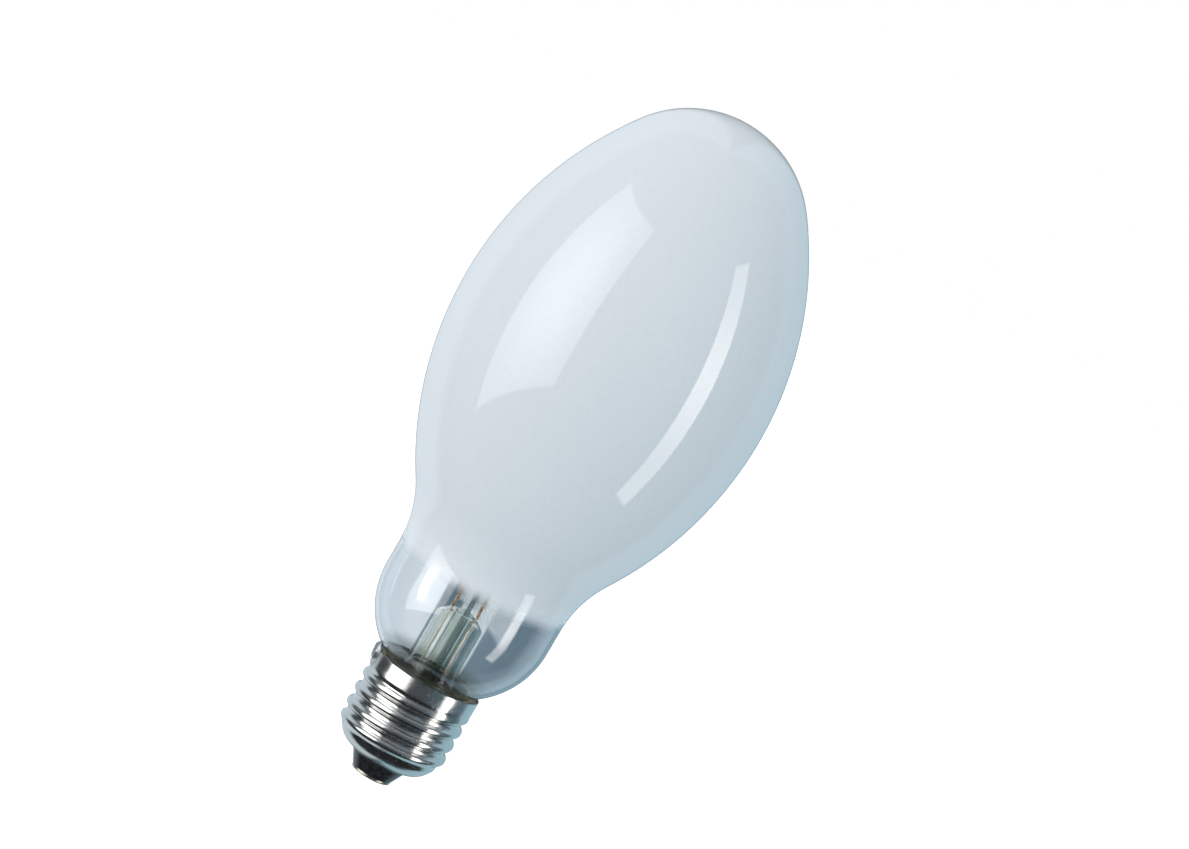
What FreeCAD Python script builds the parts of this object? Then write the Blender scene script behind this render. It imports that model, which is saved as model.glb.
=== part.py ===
import FreeCAD, Part
import math
import os
import re
import Sketcher

# A grow lamp of the screw-base mercury vapour kind: a coated glass bulb round a quartz arc tube.
# The lamp axis is +Z and the origin is the centre of the contact's outer face, so the bulb is upward.
# The side wire leaves the cap near -X. Lengths are millimetres and angles are degrees.

SIZES = {
    # Glass bulb: a ball-shaped foot, a straight neck, a hollow blend, two flanks and a crown.
    "overall_length": 168.0,
    "bulb_radius": 37.45,
    "widest_height": 108.5,
    "crown_radius": 26.2,
    "hollow_radius": 27.3,
    "neck_radius": 20.65,
    "neck_top": 49.7,
    "foot_height": 43.9,
    "seal_radius": 10.6,
    "seal_height": 22.5,
    "glass_wall": 0.8,
    # White coating inside the bulb.
    "coating_edge": 49.2,
    "coating_thickness": 0.15,
    # Rolled screw shell with its nose below and its plain collar above the thread.
    "shell_wall": 0.3,
    "thread_pitch": 3.629,
    "thread_major_radius": 13.1,
    "thread_minor_radius": 12.05,
    "thread_start": 7.0,
    "thread_start_fade": 3.5,
    "collar_radius": 12.95,
    "collar_start": 20.5,
    "collar_fade": 2.5,
    "shell_rim_height": 26.4,
    "mouth_radius": 6.8,
    "mouth_height": 4.1,
    "nose_slope": 22.0,
    "nose_radius": 5.5,
    # Centre contact, its solder and the glass insulator.
    "contact_radius": 4.8,
    "contact_thickness": 0.7,
    "contact_rounding": 0.25,
    "contact_solder_radius": 1.5,
    "insulator_flange_radius": 9.6,
    "insulator_top": 7.6,
    "insulator_bore_radius": 1.7,
    # Cement between the seal and the collar, below the bulb's foot.
    "cement_bottom": 23.2,
    "cement_foot_gap": 0.28,
    # Solder lump that holds the side wire on the collar's rim.
    "side_solder_angle": 195.0,
    "side_solder_height": 25.7,
    "side_solder_reach": 1.2,
    "side_solder_half_width": 2.4,
    "side_solder_half_height": 1.9,
    # Glass stem: a flare, a tube and a flattened press.
    "stem_radius": 6.3,
    "stem_wall": 1.1,
    "stem_top": 49.4,
    "flare_height": 29.5,
    "flare_angle": 60.0,
    "press_bottom": 42.5,
    "press_thickness": 5.6,
    "press_end_radius": 4.0,
    "shoulder_rounding": 1.5,
    # Exhaust tube inside the stem.
    "exhaust_radius": 2.0,
    "exhaust_wall": 0.5,
    "exhaust_tip": 14.0,
    "exhaust_bore_radius": 1.2,
    # Wires from the cap through the press.
    "lead_radius": 0.25,
    "lead_offset": 3.0,
    "seal_wire_radius": 0.35,
    "lead_bend": 0.6,
    "lead_knee": 1.4,
    "side_lead_dip": 2.5,
    "side_lead_straight_end": 1.5,
    "side_lead_lean": 0.75,
    "side_lead_rim_drop": 0.3,
    "side_lead_collar_gap": 1.25,
    "side_lead_rim_gap": 0.3,
    # Wire frame that carries the arc tube.
    "frame_wire_radius": 0.8,
    "frame_bend": 2.0,
    "rod_offset": 13.0,
    "rod_crank_bottom": 53.0,
    "rod_crank_top": 58.0,
    "rod_top": 142.0,
    "post_crank_bottom": 56.0,
    "post_crank_top": 61.0,
    "post_top": 69.3,
    # Quartz arc tube.
    "arc_centre": 105.0,
    "arc_gap": 30.0,
    "arc_tube_radius": 6.8,
    "arc_tube_wall": 1.2,
    "arc_tube_straight_half": 12.6,
    "arc_tube_half_length": 35.0,
    "pinch_width": 12.0,
    "pinch_thickness": 3.6,
    # Electrodes, foils and leads of the arc tube.
    "electrode_radius": 0.5,
    "coil_wire_radius": 0.2,
    "coil_pitch": 0.45,
    "coil_length": 2.25,
    "coil_setback": 0.6,
    "probe_radius": 0.25,
    "probe_offset": 3.6,
    "probe_setback": 1.5,
    "foil_width": 2.6,
    "probe_foil_width": 1.8,
    "foil_thickness": 0.12,
    "foil_length": 8.0,
    "foil_cover": 3.5,
    "foil_lead_radius": 0.4,
    "foil_lead_length": 8.5,
    "mercury_radius": 0.9,
    # Straps round the pinches.
    "strap_thickness": 0.3,
    "strap_height": 4.0,
    "strap_setback": 5.0,
    # Starting resistor beside the lower pinch.
    "resistor_radius": 1.5,
    "resistor_bottom": 61.0,
    "resistor_length": 7.0,
    "resistor_offset": 8.3,
    "probe_lead_radius": 0.3,
    "resistor_lead_rise": 2.5,
    "resistor_lead_drop": 1.5,
    # Clearances.
    "fit_gap": 0.1,
    "touch_gap": 0.05,
}

document = FreeCAD.newDocument("GrowLamp")
sheet = document.addObject("Spreadsheet::Sheet", "Size")
for row, (alias, size) in enumerate(SIZES.items(), start=1):
    sheet.set(f"A{row}", str(size))
    sheet.setAlias(f"A{row}", alias)
document.recompute()

pieces = []


# ---------------------------------------------------------------- expressions

def bound(formula):
    """A formula in the sheet's aliases, written as a FreeCAD expression."""
    return re.sub(r"[a-z]+(?:_[a-z]+)+", lambda word: "Size." + word.group(0), str(formula))


def value(formula):
    """The number that a formula in the sheet's aliases has now."""
    return float(sheet.evalExpression(bound(formula)))


def bind(thing, **formulas):
    """Binds properties to formulas. A double underscore in a name stands for a dot."""
    for name, formula in formulas.items():
        thing.setExpression(name.replace("__", "."), bound(formula))


def finished(thing, label):
    """Names a sub-part and adds it to the pieces that are written out."""
    thing.Label = label
    pieces.append(thing)
    return thing


# ---------------------------------------------------------------- sketches and bodies

def new_body(name):
    return document.addObject("PartDesign::Body", name)


def new_sketch(body, name, role="XZ_Plane", height=None):
    """A sketch on one of the body's origin planes, raised along its normal where height is given."""
    sketch = body.newObject("Sketcher::SketchObject", name)
    plane = next(feature for feature in body.Origin.OriginFeatures if feature.Role == role)
    sketch.AttachmentSupport = [(plane, "")]
    sketch.MapMode = "FlatFace"
    if height is not None:
        bind(sketch, AttachmentOffset__Base__z=height)
    return sketch


def fix_point(sketch, edge, end, corner):
    """Ties one end of an edge to a corner's two formulas."""
    for kind, axis, formula in zip(("DistanceX", "DistanceY"), (-2, -1), corner):
        if formula == "0":
            sketch.addConstraint(Sketcher.Constraint("PointOnObject", edge, end, axis))
        else:
            size = value(formula)
            index = sketch.addConstraint(Sketcher.Constraint(kind, -1, 1, edge, end, size))
            sketch.setExpression(f"Constraints[{index}]", bound(formula))


def arc_between(start, end, radius, turn):
    """The shorter arc from start to end. Its centre is on the left for turn 1, on the right for -1."""
    chord = end - start
    left = FreeCAD.Vector(-chord.y, chord.x, 0).normalize()
    height = math.sqrt(radius ** 2 - (chord.Length / 2) ** 2)
    centre = (start + end) / 2 + left * (turn * height)
    return Part.Arc(start, centre - left * (turn * radius), end)


def draw_outline(sketch, corners, sides):
    """A closed outline. sides[n] joins corner n to the next one: None is a line, and (radius, turn)
    is an arc."""
    places = [FreeCAD.Vector(value(x), value(y), 0) for x, y in corners]
    ends = []
    for number, side in enumerate(sides):
        start = places[number]
        stop = places[(number + 1) % len(places)]
        if side is None:
            edge = sketch.addGeometry(Part.LineSegment(start, stop), False)
            first = 1
        else:
            radius, turn = side
            size = value(radius)
            edge = sketch.addGeometry(arc_between(start, stop, size, turn), False)
            first = 1 if (sketch.getPoint(edge, 1) - start).Length < 1e-6 else 2
            index = sketch.addConstraint(Sketcher.Constraint("Radius", edge, size))
            sketch.setExpression(f"Constraints[{index}]", bound(radius))
        ends.append((edge, first))
    for number, (edge, first) in enumerate(ends):
        fix_point(sketch, edge, first, corners[number])
        previous, previous_first = ends[number - 1]
        joint = ("Coincident", previous, 3 - previous_first, edge, first)
        sketch.addConstraint(Sketcher.Constraint(*joint))


def turned(body, name, corners, sides, feature="PartDesign::Revolution"):
    """A full turn of an outline about the lamp axis. The outline is in the XZ plane."""
    sketch = new_sketch(body, name + "_outline")
    draw_outline(sketch, corners, sides)
    turn = body.newObject(feature, name)
    turn.Profile = sketch
    turn.ReferenceAxis = (sketch, ["V_Axis"])
    turn.Angle = 360
    return turn


def wall_outline(outer, inner):
    """The outline of a wall between two chains, each of which is its corners and its sides."""
    outer_corners, outer_sides = outer
    inner_corners, inner_sides = inner
    back = [None if side is None else (side[0], -side[1]) for side in reversed(inner_sides)]
    return outer_corners + inner_corners[::-1], outer_sides + [None] + back + [None]


# ---------------------------------------------------------------- plain pieces

def upright_rod(name, radius, low, high, offset="0"):
    """A round rod along Z from low to high, with its axis at X = offset."""
    rod = document.addObject("Part::Cylinder", name)
    bind(rod, Radius=radius, Height=f"({high}) - ({low})", Placement__Base__x=offset)
    bind(rod, Placement__Base__z=low)
    return rod


def upright_block(name, width, thickness, low, high, centre="0"):
    """A block centred on Y = 0 and X = centre, from low to high along Z."""
    block = document.addObject("Part::Box", name)
    bind(block, Length=width, Width=thickness, Height=f"({high}) - ({low})")
    bind(block, Placement__Base__x=f"({centre}) - ({width}) / 2")
    bind(block, Placement__Base__y=f"-({thickness}) / 2", Placement__Base__z=low)
    return block


def cut_away(name, base, *tools):
    """The base less every tool."""
    for number, tool in enumerate(tools):
        cut = document.addObject("Part::Cut", f"{name}_cut_{number}")
        cut.Base = base
        cut.Tool = tool
        base = cut
    return base


def bent_wire(label, points, radius, bend):
    """A round wire along straight runs joined by tangent arcs."""
    edges = []
    start = points[0]
    for before, corner, after in zip(points, points[1:], points[2:]):
        towards_before = (before - corner).normalize()
        towards_after = (after - corner).normalize()
        half_angle = towards_before.getAngle(towards_after) / 2
        first = corner + towards_before * (bend / math.tan(half_angle))
        last = corner + towards_after * (bend / math.tan(half_angle))
        inward = (towards_before + towards_after).normalize()
        middle = corner + inward * (bend / math.sin(half_angle) - bend)
        edges.append(Part.LineSegment(start, first).toShape())
        edges.append(Part.Arc(first, middle, last).toShape())
        start = last
    edges.append(Part.LineSegment(start, points[-1]).toShape())
    section = Part.makeCircle(radius, points[0], points[1] - points[0])
    wire = document.addObject("Part::Feature", label)
    wire.Shape = Part.Wire(edges).makePipeShell([Part.Wire([section])], True, True)
    wire.Placement = FreeCAD.Placement()
    return finished(wire, label)


def place(across, height, angle=0.0):
    """A point at a distance across from the axis, at a height, turned about Z from +X."""
    return FreeCAD.Vector(
        value(across) * math.cos(math.radians(angle)),
        value(across) * math.sin(math.radians(angle)),
        value(height),
    )


# ---------------------------------------------------------------- glass bulb and its coating

def bulb_chain(inset, floor):
    """The bulb's side, inset from the outer glass face, from the crown down to the floor's height."""
    crown_height = "(overall_length - crown_radius)"
    rise = f"({crown_height} - widest_height)"
    shoulder = f"((bulb_radius^2 + {rise}^2 - crown_radius^2) / (2 * (bulb_radius - crown_radius)))"
    cap = f"(crown_radius - {inset})"
    crown = [
        ("0", f"overall_length - {inset}"),
        (
            f"{cap} * ({shoulder} - bulb_radius) / ({shoulder} - crown_radius)",
            f"{crown_height} + {cap} * {rise} / ({shoulder} - crown_radius)",
        ),
        (f"bulb_radius - {inset}", "widest_height"),
    ]
    step = "(bulb_radius - neck_radius)"
    drop = "(widest_height - neck_top)"
    radii = f"(({drop}^2 + {step}^2) / (2 * {step}))"
    flank = f"({radii} - hollow_radius - {inset})"
    neck = [
        (
            f"bulb_radius - {inset} - {flank} * {step} / {radii}",
            f"widest_height - {flank} * {drop} / {radii}",
        ),
        (f"neck_radius - {inset}", "neck_top"),
    ]
    sides = [
        (cap, -1),
        (f"{shoulder} - {inset}", -1),
        (flank, -1),
        (f"hollow_radius + {inset}", 1),
    ]
    if floor == "coating_edge":
        return crown + neck + [(f"neck_radius - {inset}", floor)], sides + [None]
    foot = [
        (f"neck_radius - {inset}", "foot_height"),
        (f"seal_radius - {inset}", foot_end(inset)),
        (f"seal_radius - {inset}", floor),
    ]
    return crown + neck + foot, sides + [None, (f"neck_radius - {inset}", -1), None]


def foot_end(inset):
    """The height where the ball-shaped foot meets the seal."""
    return f"(foot_height - sqrt((neck_radius - {inset})^2 - (seal_radius - {inset})^2))"


def bulb_wall(label, outer_inset, inner_inset, floor):
    """A shell of the bulb's shape between two insets."""
    outline = wall_outline(bulb_chain(outer_inset, floor), bulb_chain(inner_inset, floor))
    body = new_body(label)
    turned(body, label + "_wall", *outline)
    finished(body, label)


def make_outer_bulb():
    bulb_wall("outer_bulb", "0", "glass_wall", "seal_height")


def make_coating():
    face = "(glass_wall + touch_gap)"
    bulb_wall("phosphor_coating", face, "(glass_wall + touch_gap + coating_thickness)", "coating_edge")


# ---------------------------------------------------------------- cap

ROWS_PER_TURN = 10
POINTS_PER_TURN = 24


class ShellForm:
    """The rolled sheet's shape: a sloped nose, a rounded corner, the thread and the plain collar."""

    def __init__(self):
        self.slope = math.radians(value("nose_slope"))
        self.minor = value("thread_minor_radius")
        self.depth = value("thread_major_radius - thread_minor_radius")
        self.pitch = value("thread_pitch")
        self.crest = (self.pitch ** 2 / 4 + self.depth ** 2) / (4 * self.depth)
        self.mouth_radius = value("mouth_radius")
        self.mouth_height = value("mouth_height")
        self.thread_start = value("thread_start")
        self.thread_start_fade = value("thread_start_fade")
        self.collar_out = value("collar_radius - thread_minor_radius")
        self.collar_start = value("collar_start")
        self.collar_fade = value("collar_fade")
        self.bend = value("nose_radius")
        self.bend_centre = self.minor - self.bend
        across = self.bend_centre + self.bend * math.sin(self.slope) - self.mouth_radius
        self.slope_length = across / math.cos(self.slope)
        self.bend_length = self.bend * (math.pi / 2 - self.slope)
        rise = self.slope_length * math.sin(self.slope) + self.bend * math.cos(self.slope)
        self.bend_height = self.mouth_height + rise
        upright = value("shell_rim_height") - self.bend_height
        self.length = self.slope_length + self.bend_length + upright

    def base(self, along):
        """Radius, height and heading of the plain sheet at a distance along it from the mouth."""
        if along < self.slope_length:
            radius = self.mouth_radius + along * math.cos(self.slope)
            return radius, self.mouth_height + along * math.sin(self.slope), self.slope
        if along < self.slope_length + self.bend_length:
            heading = self.slope + (along - self.slope_length) / self.bend
            radius = self.bend_centre + self.bend * math.sin(heading)
            return radius, self.bend_height - self.bend * math.cos(heading), heading
        upright = along - self.slope_length - self.bend_length
        return self.minor, self.bend_height + upright, math.pi / 2

    def ridge(self, distance):
        """Height of the thread above its root at an axial distance from a crest: two equal arcs."""
        distance = abs((distance + self.pitch / 2) % self.pitch - self.pitch / 2)
        if distance <= self.pitch / 4:
            return self.depth - self.crest + math.sqrt(self.crest ** 2 - distance ** 2)
        distance = self.pitch / 2 - distance
        return self.crest - math.sqrt(self.crest ** 2 - distance ** 2)

    def point(self, along, angle, inset):
        """A point of the sheet's face, inset from the outer one."""
        radius, height, heading = self.base(along)
        start = fade((height - self.thread_start) / self.thread_start_fade)
        end = fade((height - self.collar_start) / self.collar_fade)
        ridge = self.ridge(height - self.pitch * angle / (2 * math.pi))
        out = (1 - end) * start * ridge + end * self.collar_out - inset
        radius += out * math.sin(heading)
        height -= out * math.cos(heading)
        return FreeCAD.Vector(radius * math.cos(angle), radius * math.sin(angle), height)

    def face(self, inset):
        """One face of the sheet, all the way round, as a surface through rows of points."""
        rows = math.ceil(self.length / self.pitch * ROWS_PER_TURN)
        columns = POINTS_PER_TURN
        points = []
        for row in range(rows + 1):
            along = self.length * row / rows
            ring = [self.point(along, 2 * math.pi * n / columns, inset) for n in range(columns)]
            points.append(ring + ring[:1])
        surface = Part.BSplineSurface()
        surface.interpolate(points)
        surface.setVPeriodic()
        return surface.toShape()


def fade(share):
    """A smooth step from 0 to 1."""
    share = min(max(share, 0.0), 1.0)
    return share * share * (3 - 2 * share)


def edge_at(face, lowest):
    """The face's level edge that is lowest or highest."""
    level = [edge for edge in face.Edges if edge.BoundBox.ZLength < 0.01]
    return sorted(level, key=lambda edge: edge.BoundBox.ZMin)[0 if lowest else -1]


def make_screw_shell():
    form = ShellForm()
    outside = form.face(0.0)
    inside = form.face(value("shell_wall"))
    faces = [outside, inside]
    for lowest in (True, False):
        faces.append(Part.makeRuledSurface(edge_at(outside, lowest), edge_at(inside, lowest)))
    shell = Part.Shell(faces)
    shell.sewShape()
    solid = Part.Solid(shell)
    if solid.Volume < 0:
        solid.reverse()
    sheet_metal = document.addObject("Part::Feature", "screw_shell")
    sheet_metal.Shape = solid
    sheet_metal.Placement = FreeCAD.Placement()
    finished(sheet_metal, "screw_shell")


def make_cap_insulator():
    """A glass cone under the shell's mouth, with a flange that follows the nose from inside."""
    gap = "(shell_wall + fit_gap)"
    waist = f"(mouth_radius - {gap} * sin(nose_slope))"
    waist_height = f"(mouth_height + {gap} * cos(nose_slope))"
    bend_centre = "(thread_minor_radius - nose_radius)"
    bend_start = f"({bend_centre} + nose_radius * sin(nose_slope))"
    slope_rise = f"(({bend_start} - mouth_radius) * tan(nose_slope))"
    bend_height = f"(mouth_height + {slope_rise} + nose_radius * cos(nose_slope))"
    bend = f"(nose_radius - {gap})"
    flange_reach = f"(insulator_flange_radius - {bend_centre})"
    corners = [
        ("insulator_bore_radius", "contact_thickness"),
        ("contact_radius + fit_gap", "contact_thickness"),
        (waist, "mouth_height"),
        (waist, waist_height),
        (f"{bend_centre} + {bend} * sin(nose_slope)", f"{bend_height} - {bend} * cos(nose_slope)"),
        ("insulator_flange_radius", f"{bend_height} - sqrt({bend}^2 - {flange_reach}^2)"),
        ("insulator_flange_radius", "insulator_top"),
        ("insulator_bore_radius", "insulator_top"),
    ]
    body = new_body("cap_insulator")
    turned(body, "insulator_cone", corners, [None] * 4 + [(bend, 1)] + [None] * 3)
    finished(body, "cap_insulator")


def make_centre_contact():
    hole = "contact_solder_radius + touch_gap"
    corners = [
        (hole, "0"),
        ("contact_radius - contact_rounding", "0"),
        ("contact_radius", "contact_rounding"),
        ("contact_radius", "contact_thickness"),
        (hole, "contact_thickness"),
    ]
    body = new_body("centre_contact")
    turned(body, "contact_plate", corners, [None, ("contact_rounding", 1), None, None, None])
    finished(body, "centre_contact")
    finished(upright_rod("solder_plug", "contact_solder_radius", "0", "contact_thickness"), "centre_solder")


def make_cap_cement(side_lead):
    top = f"{foot_end('0')} - cement_foot_gap"
    corners = [
        ("seal_radius + touch_gap", "cement_bottom"),
        ("collar_radius - shell_wall - touch_gap", "cement_bottom"),
        ("collar_radius - shell_wall - touch_gap", top),
        ("seal_radius + touch_gap", top),
    ]
    body = new_body("cement_ring")
    turned(body, "cement_section", corners, [None] * 4)
    finished(cut_away("cement", body, side_lead), "cap_cement")


def make_side_solder(side_lead):
    """A lump outside the collar's rim, cut to fit the collar and the wire in it."""
    lump = document.addObject("Part::Ellipsoid", "solder_lump")
    bind(lump, Radius1="side_solder_half_height", Radius2="side_solder_reach")
    bind(lump, Radius3="side_solder_half_width", Placement__Base__z="side_solder_height")
    bind(lump, Placement__Base__x="collar_radius * cos(side_solder_angle)")
    bind(lump, Placement__Base__y="collar_radius * sin(side_solder_angle)")
    lump.Placement.Rotation.Axis = FreeCAD.Vector(0, 0, 1)
    bind(lump, Placement__Rotation__Angle="side_solder_angle")
    low = "side_solder_height - 2 * side_solder_half_height"
    high = "side_solder_height + 2 * side_solder_half_height"
    collar = upright_rod("collar_space", "collar_radius + touch_gap", low, high)
    finished(cut_away("solder", lump, collar, side_lead), "side_solder")


# ---------------------------------------------------------------- stem and the wires through it

def make_stem():
    mouth = "(seal_radius - glass_wall - touch_gap)"
    flare = f"(({mouth} - stem_radius) / (1 - cos(flare_angle)))"
    inner = "(stem_radius - stem_wall)"
    flare_inside = f"({flare} + stem_wall)"
    corners = [
        ("0", "press_bottom + shoulder_rounding"),
        ("stem_radius - shoulder_rounding", "press_bottom + shoulder_rounding"),
        ("stem_radius", "press_bottom"),
        ("stem_radius", "flare_height"),
        (mouth, f"flare_height - {flare} * sin(flare_angle)"),
        (
            f"stem_radius + {flare} - {flare_inside} * cos(flare_angle)",
            f"flare_height - {flare_inside} * sin(flare_angle)",
        ),
        (inner, "flare_height"),
        (inner, "press_bottom"),
        ("0", "press_bottom"),
    ]
    shoulder = ("shoulder_rounding", -1)
    sides = [None, shoulder, None, (flare, 1), None, (flare_inside, -1), None, None, None]
    body = new_body("stem")
    turned(body, "stem_tube", corners, sides)

    press = new_sketch(body, "press_outline", "XY_Plane", "press_bottom")
    half = "press_thickness / 2"
    flat = f"(stem_radius - press_end_radius + sqrt(press_end_radius^2 - ({half})^2))"
    low, left = f"-({half})", f"-{flat}"
    crowned = ("press_end_radius", 1)
    corners = [(left, low), (flat, low), (flat, half), (left, half)]
    draw_outline(press, corners, [None, crowned, None, crowned])
    pad = body.newObject("PartDesign::Pad", "press")
    pad.Profile = press
    bind(pad, Length="stem_top - press_bottom")

    bores = new_sketch(body, "press_bores", "XY_Plane", "stem_top")
    for offset, radius in (
        ("-lead_offset", "seal_wire_radius + touch_gap"),
        ("0", "exhaust_bore_radius"),
        ("lead_offset", "seal_wire_radius + touch_gap"),
    ):
        circle = Part.Circle(FreeCAD.Vector(value(offset), 0, 0), FreeCAD.Vector(0, 0, 1), value(radius))
        edge = bores.addGeometry(circle, False)
        index = bores.addConstraint(Sketcher.Constraint("Radius", edge, value(radius)))
        bores.setExpression(f"Constraints[{index}]", bound(radius))
        fix_point(bores, edge, 3, (offset, "0"))
    pocket = body.newObject("PartDesign::Pocket", "press_bore_pocket")
    pocket.Profile = bores
    bind(pocket, Length="stem_top - press_bottom + stem_wall")
    finished(body, "stem")


def make_exhaust_tube():
    inner = "(exhaust_radius - exhaust_wall)"
    corners = [
        ("exhaust_radius", "press_bottom"),
        (inner, "press_bottom"),
        (inner, "exhaust_tip + exhaust_radius"),
        ("0", "exhaust_tip + exhaust_wall"),
        ("0", "exhaust_tip"),
        ("exhaust_radius", "exhaust_tip + exhaust_radius"),
    ]
    sides = [None, None, (inner, -1), None, ("exhaust_radius", 1), None]
    body = new_body("exhaust_tube")
    turned(body, "exhaust_wall_turn", corners, sides)
    finished(body, "exhaust_tube")


def make_cap_leads():
    """The wire to the centre contact and the wire to the solder on the collar. Returns the second."""
    radius = value("lead_radius")
    lead_in = [
        place("0", "contact_thickness"),
        place("0", "insulator_top + lead_knee"),
        place("lead_offset", "exhaust_tip"),
        place("lead_offset", "press_bottom"),
    ]
    bent_wire("centre_lead_wire", lead_in, radius, value("frame_bend"))
    angle = value("side_solder_angle")
    between = "(collar_radius - shell_wall - lead_radius - side_lead_collar_gap)"
    straight_end = "(shell_rim_height - side_lead_straight_end)"
    lean = "side_lead_lean"
    lead_out = [
        place("-lead_offset", "press_bottom"),
        place("-lead_offset", "seal_height - side_lead_dip"),
        place(between, "seal_height - side_lead_dip", angle),
        place(between, straight_end, angle),
        place(f"{between} + {lean}", f"{straight_end} + sqrt(3) * {lean}", angle),
        place("collar_radius - shell_wall / 2", "shell_rim_height + lead_radius + side_lead_rim_gap", angle),
        place("collar_radius + side_solder_reach / 2", "shell_rim_height - side_lead_rim_drop", angle),
    ]
    return bent_wire("side_lead_wire", lead_out, radius, value("lead_radius"))


def make_seal_wires():
    for label, offset in (("centre_seal_wire", "lead_offset"), ("side_seal_wire", "-lead_offset")):
        rod = upright_rod(label, "seal_wire_radius", "press_bottom", "stem_top", offset)
        finished(rod, label)


# ---------------------------------------------------------------- wire frame

def make_frame():
    radius = value("frame_wire_radius")
    bend = value("frame_bend")
    beside = "foil_lead_radius + frame_wire_radius + touch_gap"
    post = [
        place("lead_offset", "stem_top"),
        place("lead_offset", "post_crank_bottom"),
        place(beside, "post_crank_top"),
        place(beside, "post_top"),
    ]
    bent_wire("short_lead_post", post, radius, bend)
    rod = [
        place("-lead_offset", "stem_top"),
        place("-lead_offset", "rod_crank_bottom"),
        place("-rod_offset", "rod_crank_top"),
        place("-rod_offset", "rod_top"),
        place("-(foil_lead_radius + touch_gap)", "rod_top"),
    ]
    bent_wire("frame_rod", rod, radius, bend)


def make_straps():
    """A metal band round each pinch, with a tab welded to the frame rod."""
    inner_width = "(pinch_width + 2 * fit_gap)"
    inner_thickness = "(pinch_thickness + 2 * fit_gap)"
    width = f"({inner_width} + 2 * strap_thickness)"
    thickness = f"({inner_thickness} + 2 * strap_thickness)"
    tab_end = "(rod_offset - frame_wire_radius - touch_gap)"
    tab_start = f"({width} / 2 - strap_thickness / 2)"
    for label, low in (
        ("lower_pinch_strap", "(arc_centre - arc_tube_half_length + strap_setback)"),
        ("upper_pinch_strap", "(arc_centre + arc_tube_half_length - strap_setback - strap_height)"),
    ):
        high = f"({low} + strap_height)"
        band = upright_block(label + "_band", width, thickness, low, high)
        tab_width = f"({tab_end} - {tab_start})"
        tab_centre = f"-({tab_end} + {tab_start}) / 2"
        tab = upright_block(label + "_tab", tab_width, "2 * strap_thickness", low, high, tab_centre)
        joined = document.addObject("Part::Fuse", label + "_joined")
        joined.Base = band
        joined.Tool = tab
        space = upright_block(label + "_space", inner_width, inner_thickness, low, high)
        finished(cut_away(label, joined, space), label)


# ---------------------------------------------------------------- arc tube and what is sealed in it

PINCHES = {
    # The height at a distance from the arc tube's centre, below it and above it.
    "lower": "(arc_centre - ({}))",
    "upper": "(arc_centre + ({}))",
}
FOIL_OUTER_END = "arc_tube_half_length - foil_cover"
FOIL_INNER_END = "arc_tube_half_length - foil_cover - foil_length"


def heights(end, far, near):
    """Low and high heights of a stretch that runs between two distances from the centre."""
    low, high = PINCHES[end].format(far), PINCHES[end].format(near)
    return (low, high) if end == "lower" else (high, low)


def sealed_rods():
    """Name, radius, end, far and near distances and offset of each rod that the quartz holds."""
    lead_far = f"{FOIL_OUTER_END} + foil_lead_length"
    rods = []
    for end in PINCHES:
        rods.append((f"{end}_electrode", "electrode_radius", end, FOIL_INNER_END, "arc_gap / 2", "0"))
        rods.append((f"{end}_foil_lead", "foil_lead_radius", end, lead_far, FOIL_OUTER_END, "0"))
    probe_tip = "arc_gap / 2 - probe_setback"
    aside = "-probe_offset"
    rods.append(("starter_probe", "probe_radius", "lower", FOIL_INNER_END, probe_tip, aside))
    rods.append(("starter_foil_lead", "probe_lead_radius", "lower", lead_far, FOIL_OUTER_END, aside))
    return rods


def sealed_foils():
    """Name, width, end and offset of each foil in the quartz."""
    return [
        ("lower_foil", "foil_width", "lower", "0"),
        ("upper_foil", "foil_width", "upper", "0"),
        ("starter_foil", "probe_foil_width", "lower", "-probe_offset"),
    ]


def capsule_outline(radius):
    """Half the section of a barrel with ball ends, about the arc tube's centre."""
    corners = [
        ("0", f"arc_centre + arc_tube_straight_half + {radius}"),
        (radius, "arc_centre + arc_tube_straight_half"),
        (radius, "arc_centre - arc_tube_straight_half"),
        ("0", f"arc_centre - arc_tube_straight_half - {radius}"),
    ]
    return corners, [(radius, -1), None, (radius, -1), None]


def make_arc_tube():
    """A round barrel with ball ends and two flat pinches, hollow inside, with room for the seals."""
    body = new_body("arc_tube_blank")
    turned(body, "barrel", *capsule_outline("arc_tube_radius"))
    right, back = "pinch_width / 2", "pinch_thickness / 2"
    left, front = f"-{right}", f"-{back}"
    corners = [(left, front), (right, front), (right, back), (left, back)]
    for end in PINCHES:
        low, _ = heights(end, "arc_tube_half_length", "arc_tube_straight_half")
        outline = new_sketch(body, f"{end}_pinch_outline", "XY_Plane", low)
        draw_outline(outline, corners, [None] * 4)
        pinch = body.newObject("PartDesign::Pad", f"{end}_pinch")
        pinch.Profile = outline
        bind(pinch, Length="arc_tube_half_length - arc_tube_straight_half")
    chamber = capsule_outline("(arc_tube_radius - arc_tube_wall)")
    turned(body, "chamber", *chamber, "PartDesign::Groove")
    tools = []
    for label, radius, end, far, near, offset in sealed_rods():
        low, high = heights(end, far, near)
        tools.append(upright_rod(label + "_room", f"{radius} + touch_gap", low, high, offset))
    for label, width, end, offset in sealed_foils():
        low, high = heights(end, FOIL_OUTER_END, FOIL_INNER_END)
        wide, thick = f"({width} + 2 * touch_gap)", "(foil_thickness + 2 * touch_gap)"
        tools.append(upright_block(label + "_room", wide, thick, low, high, offset))
    finished(cut_away("arc_tube", body, *tools), "arc_tube")


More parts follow.
